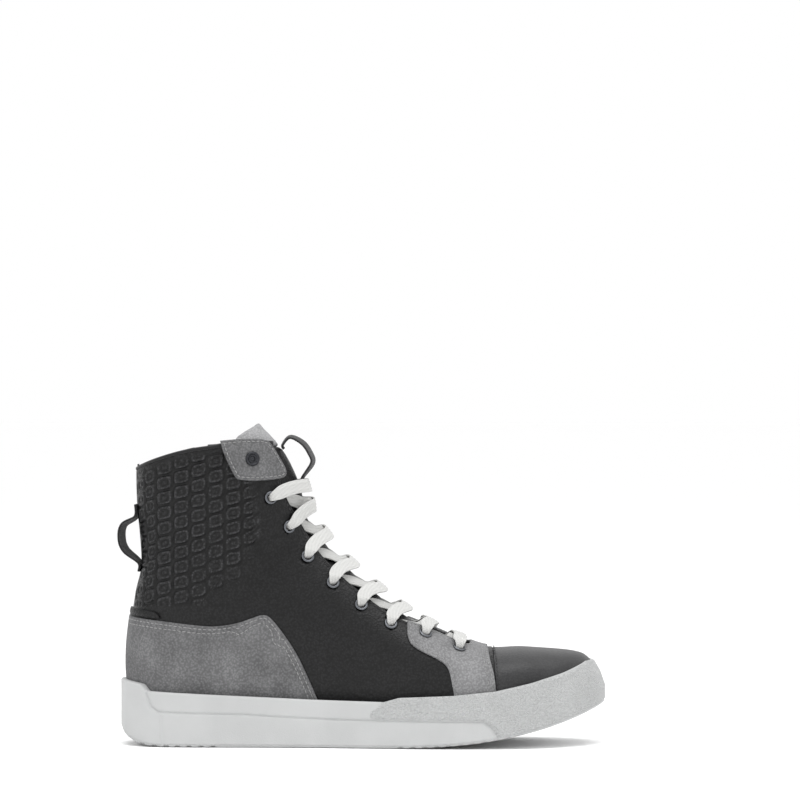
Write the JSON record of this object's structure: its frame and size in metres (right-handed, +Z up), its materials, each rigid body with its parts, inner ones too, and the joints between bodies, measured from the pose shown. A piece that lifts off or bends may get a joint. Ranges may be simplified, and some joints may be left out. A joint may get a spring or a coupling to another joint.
{
  "type": "riding boot",
  "caption": "Lace-up leather high-top riding boot on a white rubber cup sole, with a side zip under a hook-and-loop strap, grey overlays and a heel pull loop.",
  "frame": {"origin": "on the ground under the middle of the boot's box", "axes": "+X points to the toe, +Z is up, -Y is the outer side of this right boot and +Y its inner side"},
  "size_m": [0.3006, 0.1072, 0.1986],
  "materials": {
    "dark_leather": "charcoal full-grain leather, fine grain, soft sheen",
    "grey_leather": "mid-grey nubuck, matt",
    "pale_grey_leather": "pale grey nubuck, matt",
    "sole_rubber": "white rubber, matt, textured on the toe",
    "foam": "foam under textile",
    "stiffener_board": "fibre board",
    "dark_webbing": "black woven webbing",
    "lining_textile": "black knitted lining",
    "zip_textile": "black zip tape and coil",
    "gunmetal": "dark plated metal",
    "shank_steel": "plain steel strip",
    "white_cotton": "flat woven white lace"
  },
  "bodies": {
    "boot": {"cup_sole": "sole_rubber", "toe_bumper": "sole_rubber", "outsole": "sole_rubber", "foam_core": "foam", "shank": "shank_steel", "insole_board": "stiffener_board", "footbed": "foam", "toe_cap": "dark_leather", "vamp": "dark_leather", "quarter_outer": "dark_leather", "quarter_inner_front": "dark_leather", "quarter_inner_rear": "dark_leather", "heel_counter": "grey_leather", "throat_overlay": "grey_leather", "backstay": "dark_leather", "outer_tab": "grey_leather", "outer_snap": "gunmetal", "collar_binding": "dark_webbing", "collar_binding_front": "dark_webbing", "collar_padding": "foam", "lining": "lining_textile", "zip_gusset": "lining_textile", "toe_puff": "stiffener_board", "heel_stiffener": "stiffener_board", "ankle_cup_outer": "stiffener_board", "ankle_cup_inner": "stiffener_board", "tongue": "lining_textile", "tongue_top": "pale_grey_leather", "tongue_loop": "dark_webbing", "heel_pull_loop": "dark_webbing", "lace": "white_cotton", "zip_tape_front": "zip_textile", "zip_tape_rear": "zip_textile", "zip_chain": "zip_textile", "zip_bottom_stop": "gunmetal", "zip_welt": "grey_leather", "strap_front": "grey_leather", "strap_snap": "gunmetal", "loop_patch": "dark_webbing", "eyelet_outer_1": "gunmetal", "eyelet_outer_2": "gunmetal", "eyelet_outer_3": "gunmetal", "eyelet_outer_4": "gunmetal", "eyelet_outer_5": "gunmetal", "eyelet_outer_6": "gunmetal", "eyelet_outer_7": "gunmetal", "eyelet_outer_8": "gunmetal", "eyelet_inner_1": "gunmetal", "eyelet_inner_2": "gunmetal", "eyelet_inner_3": "gunmetal", "eyelet_inner_4": "gunmetal", "eyelet_inner_5": "gunmetal", "eyelet_inner_6": "gunmetal", "eyelet_inner_7": "gunmetal", "eyelet_inner_8": "gunmetal"},
    "slider": {"zip_slider": "gunmetal", "zip_pull": "gunmetal"},
    "flap": {"strap_flap": "grey_leather", "hook_patch": "dark_webbing"}
  },
  "joints": [
    {"name": "zip_slide", "type": "slide", "parent": "boot", "child": "slider", "axis": [0.2182, -0.0296, -0.9754], "range_m": [0, 0.097]},
    {"name": "strap_fold", "type": "hinge", "parent": "boot", "child": "flap", "pos_m": [-0.0855, 0.0408, 0.166], "axis": [0.0061, 0.0174, 0.9998], "range_deg": [-100, 0]}
  ]
}
